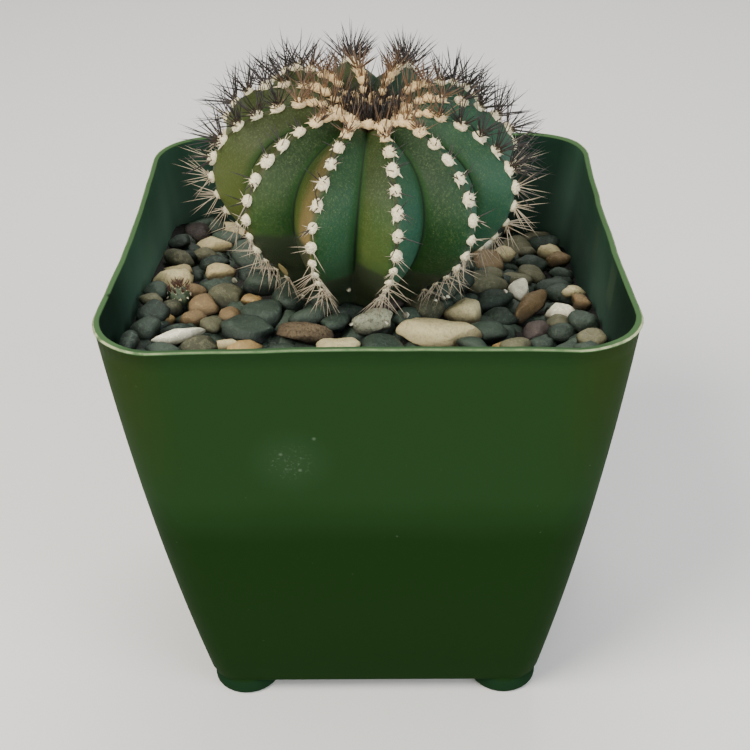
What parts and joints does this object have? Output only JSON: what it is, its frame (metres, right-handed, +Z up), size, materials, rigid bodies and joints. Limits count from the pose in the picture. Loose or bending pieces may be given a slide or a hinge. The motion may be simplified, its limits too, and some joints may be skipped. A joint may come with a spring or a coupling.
{
  "type": "potted round cactus",
  "caption": "Round ribbed cactus with woolly, spiny crests, growing in gravel in a square tapered nursery pot on feet.",
  "frame": {"origin": "middle of the square that the pot's four feet stand on", "axes": "+Z up, -Y the side that faces the viewer in the picture, +X to that viewer's right"},
  "size_m": [0.102, 0.102, 0.1377],
  "materials": {
    "pot_plastic": "satin, dark green",
    "soil": "rough, dark brown potting soil of peat and bark",
    "gravel": "rough, mixed small pebbles",
    "pale_stone": "rough, cream and white",
    "brown_stone": "rough, brown",
    "blue_stone": "rough, blue grey",
    "cactus_flesh": "waxy green skin",
    "seedling_flesh": "waxy green skin"
  },
  "bodies": {
    "root": {"pot": "pot_plastic", "potting_soil": "soil", "gravel_bed": "gravel", "cactus": "cactus_flesh", "seedling": "seedling_flesh", "stone_cream_large": "pale_stone", "stone_cream_wedge": "pale_stone", "stone_brown_rough": "brown_stone", "stone_blue_slab": "blue_stone", "stone_white_porous": "pale_stone", "stone_white_long": "pale_stone", "stone_brown_long": "brown_stone", "stone_white_round": "pale_stone"}
  },
  "joints": []
}
